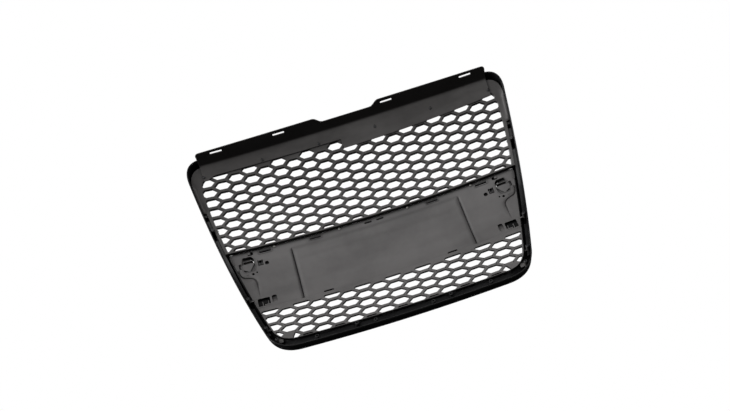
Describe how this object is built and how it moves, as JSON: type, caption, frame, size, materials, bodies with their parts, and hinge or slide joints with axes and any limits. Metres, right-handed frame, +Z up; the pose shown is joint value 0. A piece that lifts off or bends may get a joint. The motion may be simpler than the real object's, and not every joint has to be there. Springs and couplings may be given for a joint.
{
  "type": "front grille",
  "caption": "Domed front grille: a channel-section surround holds an upper honeycomb, a plate panel with a lower honeycomb, a slotted top rail and a flat number-plate cover.",
  "frame": {"origin": "centre of the flat number-plate seat on the front of the plate cover", "axes": "+Z up as fitted to the car, +Y rearwards into the car so the grille faces -Y, +X to the car's left"},
  "size_m": [0.8002, 0.1546, 0.5407],
  "materials": {
    "gloss_black": "gloss",
    "satin_black": "satin",
    "matt_black": "fine grain",
    "zinc_steel": "zinc plated",
    "black_steel": "black oxide"
  },
  "bodies": {
    "root": {"lower_insert": "matt_black", "panel_screw_1": "zinc_steel", "panel_screw_2": "zinc_steel", "panel_screw_3": "zinc_steel", "panel_screw_4": "zinc_steel", "plate_cover": "satin_black", "rail_screw_1": "black_steel", "rail_screw_2": "black_steel", "rail_screw_3": "black_steel", "rail_screw_4": "black_steel", "rail_screw_5": "black_steel", "rail_screw_6": "black_steel", "sensor_cap_left": "satin_black", "sensor_cap_right": "satin_black", "sensor_holder_left": "matt_black", "sensor_holder_right": "matt_black", "side_screw_1": "black_steel", "side_screw_2": "black_steel", "side_screw_3": "black_steel", "side_screw_4": "black_steel", "side_screw_5": "black_steel", "side_screw_6": "black_steel", "side_screw_7": "black_steel", "side_screw_8": "black_steel", "surround_frame": "gloss_black", "top_rail": "satin_black", "upper_mesh": "satin_black"}
  },
  "joints": []
}
